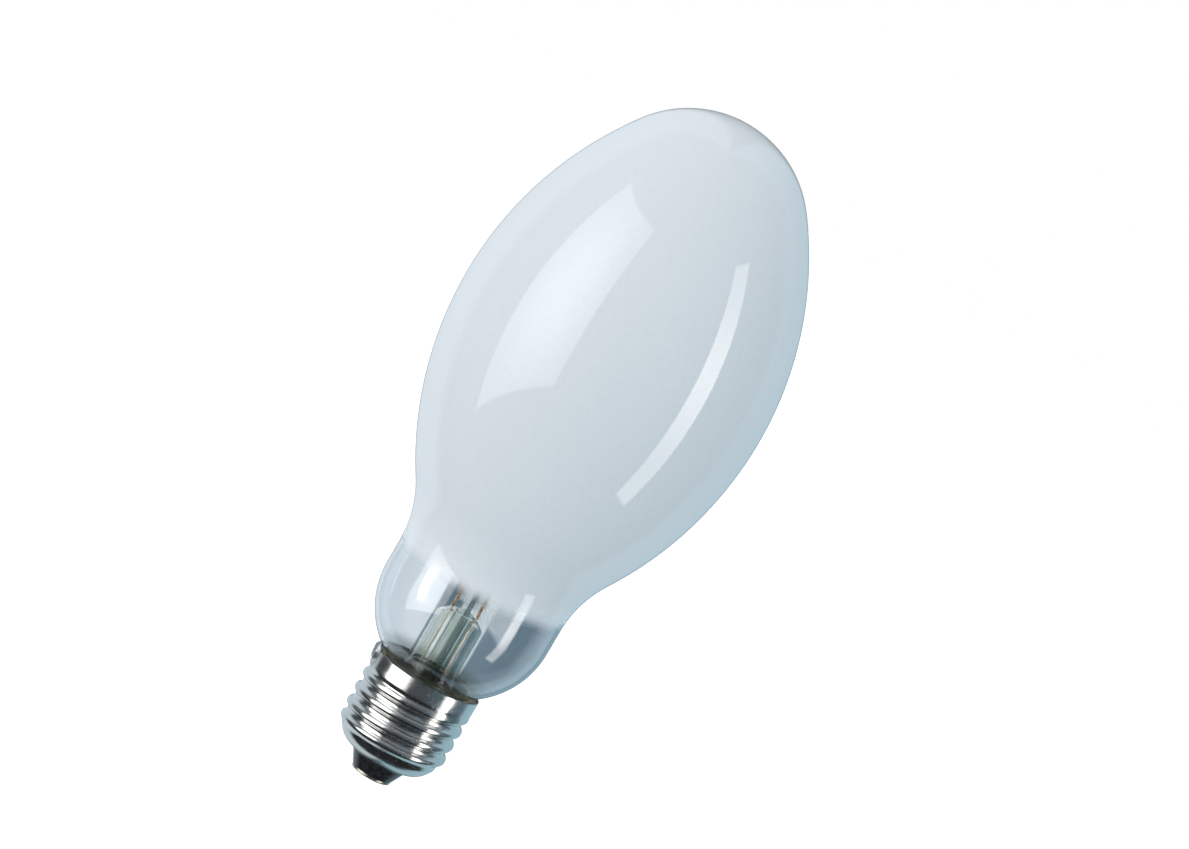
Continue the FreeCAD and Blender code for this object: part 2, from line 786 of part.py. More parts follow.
def make_sealed_pieces():
    for label, radius, end, far, near, offset in sealed_rods():
        low, high = heights(end, far, near)
        finished(upright_rod(label, radius, low, high, offset), label)
    for label, width, end, offset in sealed_foils():
        low, high = heights(end, FOIL_OUTER_END, FOIL_INNER_END)
        finished(upright_block(label, width, "foil_thickness", low, high, offset), label)


def make_electrode_coils():
    """A close winding round each electrode, just behind its tip."""
    for end in PINCHES:
        label = f"{end}_electrode_coil"
        low, high = heights(end, "arc_gap / 2 + coil_setback + coil_length", "arc_gap / 2 + coil_setback")
        body = new_body(label)
        section = new_sketch(body, label + "_section")
        across = "electrode_radius + coil_wire_radius + touch_gap"
        centre = FreeCAD.Vector(value(across), value(low), 0)
        circle = Part.Circle(centre, FreeCAD.Vector(0, 0, 1), value("coil_wire_radius"))
        edge = section.addGeometry(circle, False)
        index = section.addConstraint(Sketcher.Constraint("Radius", edge, value("coil_wire_radius")))
        section.setExpression(f"Constraints[{index}]", bound("coil_wire_radius"))
        fix_point(section, edge, 3, (across, low))
        document.recompute()
        winding = body.newObject("PartDesign::AdditiveHelix", label + "_winding")
        winding.Profile = section
        winding.ReferenceAxis = (section, ["V_Axis"])
        winding.Mode = "pitch-height-angle"
        bind(winding, Pitch="coil_pitch", Height="coil_length")
        finished(body, label)


def make_mercury_drop():
    """A drop that lies in the arc tube's lower ball end, in front of the electrode."""
    across = "(electrode_radius + 2 * coil_wire_radius + mercury_radius + 3 * touch_gap)"
    reach = "(arc_tube_radius - arc_tube_wall - mercury_radius - touch_gap)"
    drop = document.addObject("Part::Sphere", "mercury_drop")
    bind(drop, Radius="mercury_radius", Placement__Base__y=f"-{across}")
    bind(drop, Placement__Base__z=f"arc_centre - arc_tube_straight_half - sqrt({reach}^2 - {across}^2)")
    finished(drop, "mercury_drop")


# ---------------------------------------------------------------- starting resistor

def make_resistor():
    """A small rod between the frame rod and the starter probe's lead."""
    low, high = "resistor_bottom", "(resistor_bottom + resistor_length)"
    body = upright_rod("resistor_body", "resistor_radius", low, high, "-resistor_offset")
    finished(body, "starting_resistor")
    radius = value("probe_lead_radius")
    bend = value("lead_bend")
    turn_height = f"{high} + resistor_lead_rise"
    to_rod = [
        place("-resistor_offset", high),
        place("-resistor_offset", turn_height),
        place("-(rod_offset - frame_wire_radius - touch_gap)", turn_height),
    ]
    bent_wire("resistor_rod_lead", to_rod, radius, bend)
    lead_end, _ = heights("lower", f"{FOIL_OUTER_END} + foil_lead_length", FOIL_OUTER_END)
    loop_height = "resistor_bottom - resistor_lead_drop"
    to_probe = [
        place("-resistor_offset", low),
        place("-resistor_offset", loop_height),
        place("-probe_offset", loop_height),
        place("-probe_offset", lead_end),
    ]
    bent_wire("resistor_probe_lead", to_probe, radius, bend)


# ---------------------------------------------------------------- the whole lamp

make_outer_bulb()
make_coating()
make_screw_shell()
make_cap_insulator()
make_centre_contact()
side_lead_wire = make_cap_leads()
make_cap_cement(side_lead_wire)
make_side_solder(side_lead_wire)
make_stem()
make_exhaust_tube()
make_seal_wires()
make_frame()
make_arc_tube()
make_sealed_pieces()
make_electrode_coils()
make_straps()
make_mercury_drop()
make_resistor()

document.recompute()

for thing in document.Objects:
    if "Invalid" in thing.State or "Error" in thing.State:
        raise RuntimeError(f"{thing.Name} did not compute: {thing.State}")
for piece in pieces:
    if piece.Shape.isNull() or not piece.Shape.isValid() or len(piece.Shape.Solids) != 1:
        raise RuntimeError(f"{piece.Label} is not one valid solid")

os.makedirs("parts", exist_ok=True)
for piece in pieces:
    piece.Shape.exportStep(f"parts/{piece.Label}.step")
    print(f"{piece.Label}: {piece.Shape.Volume:.2f} cubic millimetres")
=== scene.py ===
import math

import bmesh
import bpy
from mathutils import Matrix, Vector, noise


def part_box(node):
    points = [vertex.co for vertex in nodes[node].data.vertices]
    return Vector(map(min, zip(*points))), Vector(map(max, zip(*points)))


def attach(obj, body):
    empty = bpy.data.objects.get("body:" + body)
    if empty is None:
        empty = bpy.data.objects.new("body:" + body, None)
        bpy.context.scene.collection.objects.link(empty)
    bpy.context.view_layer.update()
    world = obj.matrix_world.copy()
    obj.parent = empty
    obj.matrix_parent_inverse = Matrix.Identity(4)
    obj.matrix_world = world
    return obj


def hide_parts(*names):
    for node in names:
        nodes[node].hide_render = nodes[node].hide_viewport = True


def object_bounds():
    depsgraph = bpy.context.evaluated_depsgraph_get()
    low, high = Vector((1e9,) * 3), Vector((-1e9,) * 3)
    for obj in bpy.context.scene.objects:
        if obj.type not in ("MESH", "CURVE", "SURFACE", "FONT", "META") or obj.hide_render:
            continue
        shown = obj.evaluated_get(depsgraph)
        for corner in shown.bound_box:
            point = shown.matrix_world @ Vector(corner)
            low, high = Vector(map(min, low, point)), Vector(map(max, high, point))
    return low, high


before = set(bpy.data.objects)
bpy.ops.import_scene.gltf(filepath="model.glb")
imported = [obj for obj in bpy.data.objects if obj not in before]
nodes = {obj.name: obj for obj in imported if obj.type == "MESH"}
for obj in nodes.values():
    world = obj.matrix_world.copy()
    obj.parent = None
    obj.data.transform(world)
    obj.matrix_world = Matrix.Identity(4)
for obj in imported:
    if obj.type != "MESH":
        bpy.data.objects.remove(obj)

# A grow lamp on white: a coated bulb over a clear neck, a glass stem and a nickel screw cap.
# Lengths are metres in the CAD frame: the lamp axis is +Z and the cap's contact is at the origin.

MM = 0.001
cad_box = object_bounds()


# ---------------------------------------------------------------- measures of the frame

def radius_of(node):
    """Half the width of a node along X."""
    low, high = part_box(node)
    return (high.x - low.x) / 2


def floor_of(node):
    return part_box(node)[0].z


def top_of(node):
    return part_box(node)[1].z


COATING_EDGE = floor_of("phosphor_coating")
FEATHER = 8.0 * MM
SHELL_RIM = top_of("screw_shell")
STEM_TOP = top_of("stem")
LAMP_MIDDLE = Vector((0, 0, (cad_box[0].z + cad_box[1].z) / 2))
RING_SPACING = 0.5 * MM


# ---------------------------------------------------------------- meshes

def seam_outline(node):
    """The outline of a turned node in the half plane of +X: its points (radius, height), in order."""
    mesh = nodes[node].data
    tolerance = 1e-6
    places = {}
    for vertex in mesh.vertices:
        x, y, z = vertex.co
        if abs(y) < tolerance and x > -tolerance:
            places[vertex.index] = (round(x, 7), round(z, 7))
    beside = {}
    for edge in mesh.edges:
        first, last = (places.get(index) for index in edge.vertices)
        if first and last and first != last:
            beside.setdefault(first, set()).add(last)
            beside.setdefault(last, set()).add(first)
    start = max(beside, key=lambda place: place[1])
    outline = [start]
    forward = max(beside[start], key=lambda place: place[0] + place[1])
    while forward is not None:
        outline.append(forward)
        ahead = [place for place in beside[forward] if place not in outline]
        forward = min(ahead, key=lambda place: math.dist(place, outline[-1])) if ahead else None
    return outline


def runs_between_corners(outline, corner_angle=math.radians(25)):
    """Splits an open outline where it turns sharply."""
    runs = [[outline[0]]]
    for before, place, after in zip(outline, outline[1:], outline[2:]):
        runs[-1].append(place)
        into = Vector(place) - Vector(before)
        out = Vector(after) - Vector(place)
        if into.angle(out) > corner_angle:
            runs.append([place])
    runs[-1].append(outline[-1])
    return runs


def smooth_run(run, spacing):
    """Evenly spaced points on a smooth curve through a run's points."""
    points = [Vector(place) for place in run]
    if len(points) == 2:
        steps = max(1, round((points[1] - points[0]).length / spacing))
        return [points[0].lerp(points[1], n / steps) for n in range(steps + 1)]
    along = [0.0]
    for first, last in zip(points, points[1:]):
        along.append(along[-1] + (last - first).length)
    slopes = []
    for n in range(len(points)):
        low, high = max(n - 1, 0), min(n + 1, len(points) - 1)
        slopes.append((points[high] - points[low]) / (along[high] - along[low]))
    steps = max(2, round(along[-1] / spacing))
    made, part = [], 0
    for n in range(steps + 1):
        distance = along[-1] * n / steps
        while part < len(points) - 2 and along[part + 1] < distance:
            part += 1
        length = along[part + 1] - along[part]
        t = (distance - along[part]) / length
        h00, h10 = 2 * t**3 - 3 * t**2 + 1, t**3 - 2 * t**2 + t
        h01, h11 = 3 * t**2 - 2 * t**3, t**3 - t**2
        made.append(
            points[part] * h00 + slopes[part] * (h10 * length)
            + points[part + 1] * h01 + slopes[part + 1] * (h11 * length)
        )
    return made


def rounded_outline(outline, spacing, rounding):
    """A smooth outline through the given one, with each sharp corner rounded off a little."""
    runs = [smooth_run(run, spacing) for run in runs_between_corners(outline)]
    made = list(runs[0])
    for run in runs[1:]:
        corner = made.pop()
        back = (made[-1] - corner).normalized()
        on = (run[1] - corner).normalized()
        reach = min(rounding, (made[-1] - corner).length / 2, (run[1] - corner).length / 2)
        first, last = corner + back * reach, corner + on * reach
        for share in (0.0, 0.25, 0.5, 0.75, 1.0):
            made.append(first.lerp(corner, share).lerp(corner.lerp(last, share), share))
        made.extend(run[1:])
    return made


def mesh_piece(name, points, faces, slot, *stands_for):
    """A smooth-shaded piece that rides on the lamp."""
    mesh = bpy.data.meshes.new(name)
    mesh.from_pydata(points, [], faces)
    skin = bmesh.new()
    skin.from_mesh(mesh)
    bmesh.ops.recalc_face_normals(skin, faces=skin.faces)
    skin.to_mesh(mesh)
    skin.free()
    mesh.shade_smooth()
    piece = bpy.data.objects.new(name, mesh)
    bpy.context.scene.collection.objects.link(piece)
    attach(piece, "root")
    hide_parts(*stands_for)
    piece.data.materials.append(MATERIALS[slot])
    return piece


def joined_rings(rings, closed):
    """Points and faces of a skin over rings of equal length, with single points at its ends."""
    points, starts = [], []
    for ring in rings:
        starts.append((len(points), len(ring)))
        points.extend(ring)
    faces = []
    pairs = list(zip(starts, starts[1:] + (starts[:1] if closed else [])))
    for (low, low_count), (high, high_count) in pairs[: None if closed else len(starts) - 1]:
        count = max(low_count, high_count)
        for n in range(count):
            after = (n + 1) % count
            if low_count == 1:
                faces.append((low, high + after, high + n))
            elif high_count == 1:
                faces.append((low + n, low + after, high))
            else:
                faces.append((low + n, low + after, high + after, high + n))
    return points, faces


def turned_ring(place, segments):
    """A ring about the lamp axis, or one point where the outline meets the axis."""
    radius, height = place
    if radius < 1e-6:
        return [(0.0, 0.0, height)]
    turns = (2 * math.pi * n / segments for n in range(segments))
    return [(radius * math.cos(turn), radius * math.sin(turn), height) for turn in turns]


def make_bulb_glass():
    """The bulb's glass wall, turned smoothly from the CAD outline."""
    outline = rounded_outline(seam_outline("outer_bulb"), spacing=0.8 * MM, rounding=0.15 * MM)
    rings = [turned_ring(place, segments=144) for place in outline]
    points, faces = joined_rings(rings, closed=False)
    piece = mesh_piece("bulb_glass", points, faces, "bulb_glass", "outer_bulb")
    piece.visible_shadow = False
    piece.visible_diffuse = False


def flattened_ring(half_x, half_y, height, power, segments=96):
    """A ring between an ellipse, at power 2, and a rounded oblong, at higher powers."""
    ring = []
    for n in range(segments):
        turn = 2 * math.pi * n / segments
        across, deep = math.cos(turn), math.sin(turn)
        x = math.copysign(abs(across) ** (2 / power), across) * half_x
        y = math.copysign(abs(deep) ** (2 / power), deep) * half_y
        ring.append((x, y, height))
    return ring


def ease(share):
    share = min(max(share, 0.0), 1.0)
    return share * share * (3 - 2 * share)


def round_ring(radius, height):
    return flattened_ring(radius, radius, height, 2)


def heights_between(low, high):
    """Evenly spaced heights from low to high, no further apart than the stem's ring spacing."""
    steps = max(1, math.ceil((high - low) / RING_SPACING))
    return [low + (high - low) * n / steps for n in range(steps + 1)]


def make_stem_glass():
    """The stem: a flared tube that is squeezed flat at the top round the wires."""
    tube = 6.3 * MM
    inside = tube - 1.1 * MM
    bore = 1.2 * MM
    bore_lip = 0.3 * MM
    half_press = 2.8 * MM
    press_low = 41.5 * MM
    press_high = 45.5 * MM
    press_edge = 0.7 * MM
    squareness = 1.4
    ceiling = 42.2 * MM
    dome = 2.2 * MM
    flare_height = 29.5 * MM
    flare_turn = 60
    turn_step = 6
    mouth = radius_of("stem")
    outer_flare = (mouth - tube) / (1 - math.cos(math.radians(flare_turn)))
    inner_flare = outer_flare + tube - inside

    def press_ring(height):
        share = ease((height - press_low) / (press_high - press_low))
        half_y = tube + (half_press - tube) * share
        return flattened_ring(tube, half_y, height, 2 + squareness * share)

    def flare_ring(waist, flare, turn):
        angle = math.radians(turn)
        return round_ring(waist + flare * (1 - math.cos(angle)), flare_height - flare * math.sin(angle))

    # Up the bore and over its lip.
    rings = [round_ring(bore, height) for height in heights_between(ceiling, STEM_TOP - bore_lip)]
    for share in (0.5, 1.0):
        rings.append(round_ring(bore + bore_lip * share, STEM_TOP))
    # Across the press's top and round its edge.
    for share in (0.35, 0.7):
        half_x = bore + (tube - press_edge - bore) * share
        half_y = bore + (half_press - press_edge - bore) * share
        rings.append(flattened_ring(half_x, half_y, STEM_TOP, 2 + squareness * share))
    for turn in (0, 30, 60, 90):
        out = press_edge * (math.sin(math.radians(turn)) - 1)
        down = press_edge * (1 - math.cos(math.radians(turn)))
        rings.append(flattened_ring(tube + out, half_press + out, STEM_TOP - down, 2 + squareness))
    # Down the outside to the flare's mouth, then up the inside to the dome under the bore.
    press_heights = heights_between(press_low, STEM_TOP - press_edge - RING_SPACING)
    tube_heights = heights_between(flare_height, press_low - RING_SPACING)
    rings.extend(press_ring(height) for height in reversed(press_heights))
    rings.extend(round_ring(tube, height) for height in reversed(tube_heights))
    rings.extend(flare_ring(tube, outer_flare, turn) for turn in range(turn_step, flare_turn + 1, turn_step))
    rings.extend(flare_ring(inside, inner_flare, turn) for turn in range(flare_turn, -1, -turn_step))
    rings.extend(round_ring(inside, height) for height in heights_between(flare_height, ceiling - dome)[1:])
    for turn in range(12, 91, 13):
        angle = math.radians(turn)
        radius = max(bore + (inside - bore) * math.cos(angle), bore)
        rings.append(round_ring(radius, ceiling - dome * (1 - math.sin(angle))))
    points, faces = joined_rings(rings, closed=True)
    piece = mesh_piece("stem_glass", points, faces, "stem_glass", "stem")
    piece.visible_shadow = False


def make_side_solder():
    """The lump of solder over the collar's rim, sagging down the collar and up against the bulb."""
    low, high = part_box("side_solder")
    middle = (low + high) / 2
    angle = math.atan2(middle.y, middle.x)
    collar = 12.98 * MM
    # The bulb's foot is a ball of this radius about this height, and the lump stays off it.
    ball_centre = 43.9 * MM
    ball_radius = 20.65 * MM
    least_reach = 12.3 * MM
    clearance = 0.05 * MM
    centre = Vector((collar - 0.15 * MM, 0.0, middle.z + 0.3 * MM))
    half_deep, half_wide, half_tall = 1.1 * MM, 2.1 * MM, 2.2 * MM
    rows, columns = 24, 36
    rings = []
    for row in range(rows + 1):
        tilt = math.pi * row / rows
        ring = []
        for column in range(1 if row in (0, rows) else columns):
            turn = 2 * math.pi * column / columns
            way = Vector((math.sin(tilt) * math.cos(turn), math.sin(tilt) * math.sin(turn), math.cos(tilt)))
            swell = 1 + 0.16 * noise.noise(way * 1.7 + Vector((3.1, 0.4, 7.7)))
            swell += 0.05 * noise.noise(way * 5.0)
            place = centre + Vector((way.x * half_deep, way.y * half_wide, way.z * half_tall)) * swell
            inner = collar
            if place.z > SHELL_RIM:
                ball = max(ball_radius**2 - (ball_centre - place.z) ** 2, 0.0)
                inner = max(math.sqrt(ball) + clearance, least_reach)
            place.x += max(inner - math.hypot(place.x, place.y), 0.0)
            ring.append(tuple(Matrix.Rotation(angle, 3, "Z") @ place))
        rings.append(ring)
    points, faces = joined_rings(rings, closed=False)
    mesh_piece("side_solder_lump", points, faces, "solder", "side_solder")


def make_centre_solder():
    """The solder in the contact's hole: a shallow, uneven button that stays behind the contact's face."""
    radius = radius_of("centre_solder")
    # Radius and height in millimetres, from the middle of its face outwards.
    rim, edge, back = 1.5, 0.5, 0.7
    face = [(0, 0.05), (0.5, 0.06), (0.9, 0.1), (1.2, 0.2), (1.42, 0.36)]
    unevenness = 0.04 * MM
    waves_per_metre = 1500
    rings = []
    for across, height in face + [(rim, edge), (rim, back), (0, back)]:
        ring = []
        for x, y, z in turned_ring((across / rim * radius, height * MM), segments=48):
            if height < edge:
                z += unevenness * (noise.noise(Vector((x, y, 0)) * waves_per_metre) + 0.5)
            ring.append((x, y, z))
        rings.append(ring)
    points, faces = joined_rings(rings, closed=False)
    mesh_piece("centre_solder_button", points, faces, "solder", "centre_solder")


# ---------------------------------------------------------------- node helpers

class Tree:
    """A node tree that is built by calls. An input may be a number, a colour or another node's socket."""

    def __init__(self, tree):
        self.tree = tree
        tree.nodes.clear()

    def put(self, socket, source):
        if isinstance(source, bpy.types.NodeSocket):
            self.tree.links.new(source, socket)
        elif source is not None:
            socket.default_value = source

    def add(self, kind, settings=None, **inputs):
        node = self.tree.nodes.new(kind)
        for name, setting in (settings or {}).items():
            setattr(node, name, setting)
        for name, source in inputs.items():
            self.put(node.inputs[name.replace("_", " ")], source)
        return node

    def math(self, operation, *values):
        node = self.tree.nodes.new("ShaderNodeMath")
        node.operation = operation
        for socket, source in zip(node.inputs, values):
            self.put(socket, source)
        return node.outputs[0]

    def product(self, first, *others):
        for other in others:
            first = self.math("MULTIPLY", first, other)
        return first

    def total(self, first, *others):
        for other in others:
            first = self.math("ADD", first, other)
        return first

    def mix(self, share, first, last):
        node = self.tree.nodes.new("ShaderNodeMix")
        node.data_type = "RGBA"
        for socket, source in zip((node.inputs[0], node.inputs[6], node.inputs[7]), (share, first, last)):
            self.put(socket, source)
        return node.outputs[2]

    def step(self, source, low, high, start=0.0, end=1.0):
        """A smooth step: start up to low, end from high."""
        node = self.tree.nodes.new("ShaderNodeMapRange")
        node.interpolation_type = "SMOOTHSTEP"
        for number, number_source in enumerate((source, low, high, start, end)):
            self.put(node.inputs[number], number_source)
        return node.outputs[0]

    def noise(self, vector, scale, detail=3.0, roughness=0.55):
        node = self.add("ShaderNodeTexNoise", Vector=vector, Scale=scale, Detail=detail, Roughness=roughness)
        return node.outputs["Fac"]

    def place(self):
        return self.add("ShaderNodeTexCoord").outputs["Object"]

    def split(self, vector):
        return self.add("ShaderNodeSeparateXYZ", Vector=vector).outputs

    def turned_place(self, around, along):
        """Coordinates on the unrolled cap: the angle about the axis and the height, each scaled."""
        x, y, z = self.split(self.place())
        angle = self.math("ARCTAN2", y, x)
        return self.add(
            "ShaderNodeCombineXYZ",
            X=self.math("MULTIPLY", angle, around), Y=self.math("MULTIPLY", z, along), Z=0.0,
        ).outputs[0]

    def bump(self, height, distance, strength=1.0):
        return self.add("ShaderNodeBump", Height=height, Distance=distance, Strength=strength).outputs[0]


def material(name, build):
    """A material whose nodes the given function makes and whose surface it returns."""
    made = bpy.data.materials.new(name)
    made.use_nodes = True
    tree = Tree(made.node_tree)
    shader = build(tree)
    output = tree.add("ShaderNodeOutputMaterial")
    tree.put(output.inputs["Surface"], shader.outputs[0])
    return made


def principled(tree, plain=None, **inputs):
    """A Principled shader. Plain inputs are set on its own sockets, the others may be linked."""
    shader = tree.add("ShaderNodeBsdfPrincipled")
    for name, source in {**(plain or {}), **inputs}.items():
        tree.put(shader.inputs[name.replace("_", " ")], source)
    return shader


# ---------------------------------------------------------------- materials

def bulb_glass(tree):
    """Clear glass, with painted shade at its foot: a grey-green tint just above the cap's rim. Above the
    coating's edge the white powder behind it fades in.
    """
    place = tree.place()
    height = tree.split(place)[2]
    wander = tree.math("MULTIPLY", tree.math("SUBTRACT", tree.noise(place, 90), 0.5), 2.4 * MM)
    edge = tree.math("ADD", height, wander)
    clear = tree.step(edge, COATING_EDGE + 0.4 * MM, COATING_EDGE + FEATHER, 1.0, 0.0)
    cloud = tree.noise(place, 28, 4.0)
    fine = tree.noise(place, 900, 2.0)
    powder = tree.mix(cloud, (0.755, 0.785, 0.80, 1), (0.81, 0.83, 0.84, 1))
    powder = tree.mix(tree.step(fine, 0.4, 0.75, 0.0, 0.25), powder, (0.70, 0.735, 0.755, 1))
    # Painted shade: a grey-green tint on the glass just above the cap's rim.
    foot = tree.step(height, SHELL_RIM + 0.6 * MM, SHELL_RIM + 3.6 * MM, 0.0, 1.0)
    glass = tree.mix(foot, (0.42, 0.46, 0.42, 1), (0.97, 0.985, 0.99, 1))
    colour = tree.mix(clear, powder, glass)
    ripple = tree.bump(tree.noise(place, 55, 1.0), 0.02 * MM)
    return principled(
        tree,
        {"IOR": 1.5},
        Base_Color=colour,
        Roughness=tree.step(tree.noise(place, 300), 0.3, 0.8, 0.0, 0.035),
        Transmission_Weight=clear,
        Normal=ripple,
    )


def phosphor(tree):
    """White powder that thins out to nothing towards the coating's lower edge."""
    place = tree.place()
    wander = tree.math("MULTIPLY", tree.math("SUBTRACT", tree.noise(place, 110), 0.5), 2.0 * MM)
    edge = tree.math("ADD", tree.split(place)[2], wander)
    thin = tree.step(edge, COATING_EDGE, COATING_EDGE + 0.7 * FEATHER, 1.0, 0.0)
    colour = tree.mix(tree.noise(place, 60, 4.0), (0.74, 0.76, 0.78, 1), (0.82, 0.83, 0.84, 1))
    return principled(
        tree,
        {"Specular IOR Level": 0.2, "IOR": 1.01},
        Base_Color=tree.mix(thin, colour, (1.0, 1.0, 1.0, 1)),
        Transmission_Weight=thin,
        Roughness=tree.step(tree.noise(place, 400), 0.2, 0.8, 0.75, 0.95),
        Normal=tree.bump(tree.noise(place, 1500, 3.0), 0.05 * MM),
    )


def quartz(tree):
    """Clear quartz with faint drawing lines along its axis."""
    place = tree.place()
    lines = tree.turned_place(9.0, 30.0)
    return principled(
        tree,
        {"IOR": 1.52, "Transmission Weight": 1.0},
        Base_Color=tree.mix(tree.noise(lines, 1.0, 2.0), (0.985, 0.99, 0.99, 1), (1.0, 1.0, 1.0, 1)),
        Roughness=tree.step(tree.noise(place, 200), 0.35, 0.8, 0.0, 0.03),
        Normal=tree.bump(tree.noise(lines, 1.0, 1.0), 0.02 * MM),
    )


def nickel(tree):
    """Rolled nickel-plated sheet with fine turning marks, dull patches and flux stain by the solder."""
    place = tree.place()
    z = tree.split(place)[2]
    marks = tree.noise(tree.turned_place(1.2, 9000.0), 1.0, 3.0)
    blotch = tree.noise(place, 260, 5.0)
    grain = tree.noise(place, 2600, 3.0)
    colour = tree.mix(blotch, (0.60, 0.61, 0.60, 1), (0.74, 0.74, 0.72, 1))
    low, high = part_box("side_solder")
    lump = (low + high) / 2
    away = tree.add("ShaderNodeVectorMath", {"operation": "DISTANCE"})
    tree.put(away.inputs[0], place)
    away.inputs[1].default_value = lump
    near = tree.step(away.outputs["Value"], 1.8 * MM, 5.0 * MM, 1.0, 0.0)
    stain = tree.product(near, tree.step(tree.noise(place, 700, 4.0), 0.35, 0.6))
    colour = tree.mix(tree.product(stain, 0.75), colour, (0.10, 0.085, 0.07, 1))
    tarnish = tree.product(tree.step(z, 6.5 * MM, 4.2 * MM), tree.step(grain, 0.35, 0.7))
    colour = tree.mix(tree.product(tarnish, 0.5), colour, (0.22, 0.21, 0.19, 1))
    speck = tree.step(tree.noise(place, 1400, 2.0), 0.66, 0.74)
    colour = tree.mix(tree.product(speck, 0.5), colour, (0.25, 0.24, 0.22, 1))
    rough = tree.total(
        tree.step(blotch, 0.3, 0.75, 0.10, 0.24),
        tree.product(marks, 0.05), tree.product(stain, 0.3), tree.product(speck, 0.2),
    )
    height = tree.total(tree.product(marks, 0.6), tree.product(grain, 0.4), tree.product(speck, -0.6))
    return principled(
        tree,
        {"Metallic": 1.0},
        Base_Color=colour,
        Roughness=rough,
        Normal=tree.bump(height, 0.02 * MM, 0.5),
    )


def metal(dark, light, roughness, scale, bump=0.01, spots=None):
    """A metal whose colour and gloss vary, with fine grain and, where given, spots of another colour."""

    def build(tree):
        place = tree.place()
        patches = tree.noise(place, scale, 4.0)
        colour = tree.mix(tree.step(patches, 0.3, 0.7), (*dark, 1), (*light, 1))
        if spots:
            colour = tree.mix(tree.step(tree.noise(place, scale * 2.3, 3.0), 0.58, 0.68), colour, (*spots, 1))
        grain = tree.noise(place, scale * 5, 3.0)
        return principled(
            tree,
            {"Metallic": 1.0},
            Base_Color=colour,
            Roughness=tree.step(grain, 0.2, 0.8, roughness * 0.75, roughness * 1.3),
            Normal=tree.bump(grain, bump * MM),
        )

    return build


def mineral(dark, light, roughness, scale, bump, gloss=0.5):
    """Cement, ceramic or black glass: a mottled surface with pits."""

    def build(tree):
        place = tree.place()
        mottle = tree.noise(place, scale, 5.0)
        grain = tree.noise(place, scale * 4, 4.0)
        return principled(
            tree,
            {"Specular IOR Level": gloss},
            Base_Color=tree.mix(tree.step(mottle, 0.3, 0.7), (*dark, 1), (*light, 1)),
            Roughness=tree.step(grain, 0.25, 0.8, roughness * 0.8, min(roughness * 1.4, 1.0)),
            Normal=tree.bump(grain, bump * MM),
        )

    return build


def drawn_glass(tree):
    """The stem's glass: drawn tube with a green tint that runs in long light and dark streaks along its axis,
    painted highlights and painted shade standing in for the tube's reflections and wall bands.
    """
    place = tree.place()
    lines = tree.turned_place(9.0, 14.0)
    # Painted highlights and shade: long clear and green-grey bands in the glass's tint.
    painted_light_streaks = tree.step(tree.noise(lines, 1.0, 3.0), 0.40, 0.60)
    return principled(
        tree,
        {"IOR": 1.1, "Transmission Weight": 1.0, "Coat Weight": 0.5, "Coat IOR": 1.5},
        Base_Color=tree.mix(painted_light_streaks, (0.73, 0.78, 0.72, 1), (0.98, 0.99, 0.985, 1)),
        Roughness=tree.step(tree.noise(place, 200), 0.35, 0.8, 0.0, 0.03),
        Normal=tree.bump(tree.noise(lines, 1.0, 1.0), 0.03 * MM),
    )


BUILDERS = {
    "bulb_glass": bulb_glass,
    "phosphor_white": phosphor,
    "cap_metal": nickel,
    "black_glass": mineral((0.008, 0.008, 0.009), (0.03, 0.029, 0.03), 0.16, 900, 0.02),
    "contact_metal": metal((0.34, 0.31, 0.25), (0.52, 0.49, 0.42), 0.30, 900, 0.02, (0.16, 0.13, 0.09)),
    "solder": metal((0.36, 0.39, 0.42), (0.54, 0.57, 0.60), 0.44, 700, 0.05, (0.20, 0.19, 0.17)),
    "cement": mineral((0.10, 0.095, 0.07), (0.26, 0.24, 0.19), 0.85, 900, 0.12, 0.2),
    "stem_glass": drawn_glass,
    "lead_wire": metal((0.66, 0.52, 0.40), (0.85, 0.76, 0.64), 0.18, 1500),
    "seal_wire": metal((0.38, 0.23, 0.16), (0.55, 0.37, 0.27), 0.25, 1500),
    "frame_wire": metal((0.52, 0.51, 0.49), (0.70, 0.69, 0.66), 0.22, 1200),
    "quartz": quartz,
    "tungsten": metal((0.28, 0.28, 0.29), (0.42, 0.42, 0.43), 0.40, 1500),
    "molybdenum": metal((0.45, 0.45, 0.46), (0.62, 0.62, 0.62), 0.30, 1500),
    "resistor_body": mineral((0.52, 0.50, 0.46), (0.66, 0.64, 0.60), 0.6, 900, 0.03),
    "mercury": metal((0.70, 0.70, 0.71), (0.80, 0.80, 0.80), 0.04, 600, 0.0),
}
MATERIALS = {slot: material(slot + "_look", build) for slot, build in BUILDERS.items()}


def dress_nodes():
    """Gives every CAD node the look of its slot, and lets light into the bulb through the coating."""
    for node in nodes.values():
        slot = node.material_slots[0].material.name.split(".")[0]
        node.material_slots[0].material = MATERIALS[slot]
    for name in ("exhaust_tube", "arc_tube", "phosphor_coating"):
        nodes[name].visible_shadow = False
    nodes["phosphor_coating"].visible_diffuse = False


# ---------------------------------------------------------------- studio

DARK = (0.080, 0.088, 0.097, 1)
DARK_RIGHT = (0.115, 0.17, 0.21, 1)
DARK_BELOW = (0.022, 0.025, 0.028, 1)
DARK_ABOVE = (0.21, 0.23, 0.25, 1)
WALL_LEFT = (0.66, 0.76, 0.84, 1)
WALL_RIGHT = (0.40, 0.60, 0.70, 1)
STAND = (0.10, 0.13, 0.15, 1)
FILL_BRIGHT = (0.975, 0.985, 1.025, 1)
FILL_DIM = (0.50, 0.62, 0.69, 1)

